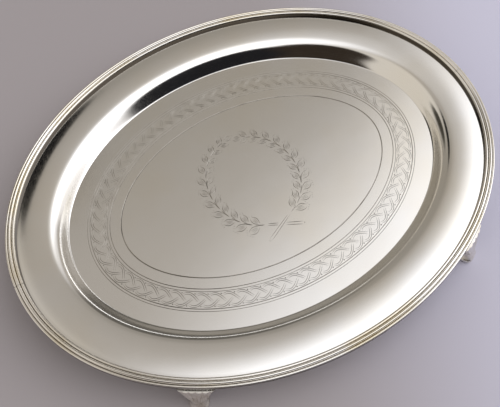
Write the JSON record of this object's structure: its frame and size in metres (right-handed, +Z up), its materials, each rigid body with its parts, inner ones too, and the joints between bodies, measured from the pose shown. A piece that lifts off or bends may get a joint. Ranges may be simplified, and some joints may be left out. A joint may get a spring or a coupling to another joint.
{
  "type": "silver salver",
  "caption": "Oval footed salver with a flat well, stepped flange, reeded wire border and fluted fan feet, for carrying and presenting small things.",
  "frame": {"origin": "on the table, under the middle of the oval", "axes": "+X along the oval's long axis, +Y across it, +Z up; the wreath's tied end lies towards -Y"},
  "size_m": [0.204, 0.163, 0.0184],
  "materials": {
    "raised_silver": "polished sterling sheet with fine wear marks",
    "drawn_silver": "polished sterling wire, darker in the grooves",
    "cast_silver": "cast sterling, bright ribs and dull flutes"
  },
  "bodies": {
    "root": {"tray_body": "raised_silver", "border_wire_back": "drawn_silver", "border_wire_front": "drawn_silver", "foot_back_left": "cast_silver", "foot_back_right": "cast_silver", "foot_front_left": "cast_silver", "foot_front_right": "cast_silver"}
  },
  "joints": []
}
